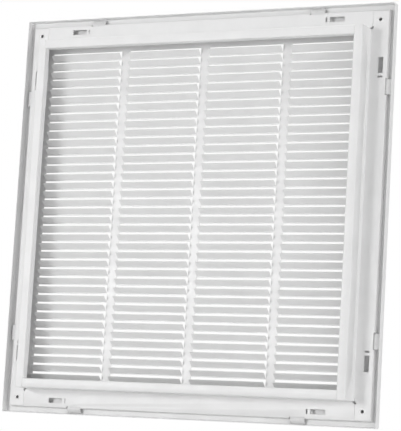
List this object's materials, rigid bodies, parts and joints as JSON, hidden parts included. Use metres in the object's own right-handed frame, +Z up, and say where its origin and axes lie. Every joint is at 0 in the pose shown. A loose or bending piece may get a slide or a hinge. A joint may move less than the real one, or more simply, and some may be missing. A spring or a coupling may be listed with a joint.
{
  "type": "return air filter grille",
  "caption": "Square sheet-steel return grille: louvred lift-off door over a folded frame with a duct collar, filter ledge, spring clips and corner screw holes.",
  "frame": {"origin": "centre of the corner screw pattern, on the rear face of the frame's flange", "axes": "+X across, +Y from the room into the duct, +Z up; the door's front faces -Y"},
  "size_m": [0.5746, 0.0398, 0.5746],
  "materials": {
    "frame_coat": "white powder coat, satin, on folded sheet steel",
    "door_coat": "white powder coat, satin, on stamped sheet steel",
    "spring_steel": "white-coated spring strip"
  },
  "bodies": {
    "frame": {"rail_right": "frame_coat", "rail_left": "frame_coat", "rail_top": "frame_coat", "rail_bottom": "frame_coat", "clip_right_upper": "spring_steel", "clip_right_lower": "spring_steel", "clip_left_upper": "spring_steel", "clip_left_lower": "spring_steel", "clip_top_right": "spring_steel", "clip_top_left": "spring_steel", "clip_bottom_right": "spring_steel", "clip_bottom_left": "spring_steel"},
    "door": {"door_face": "door_coat"}
  },
  "joints": [
    {"name": "door_pull", "type": "slide", "parent": "frame", "child": "door", "axis": [0, -1, 0], "range_m": [0, 0.09]}
  ]
}
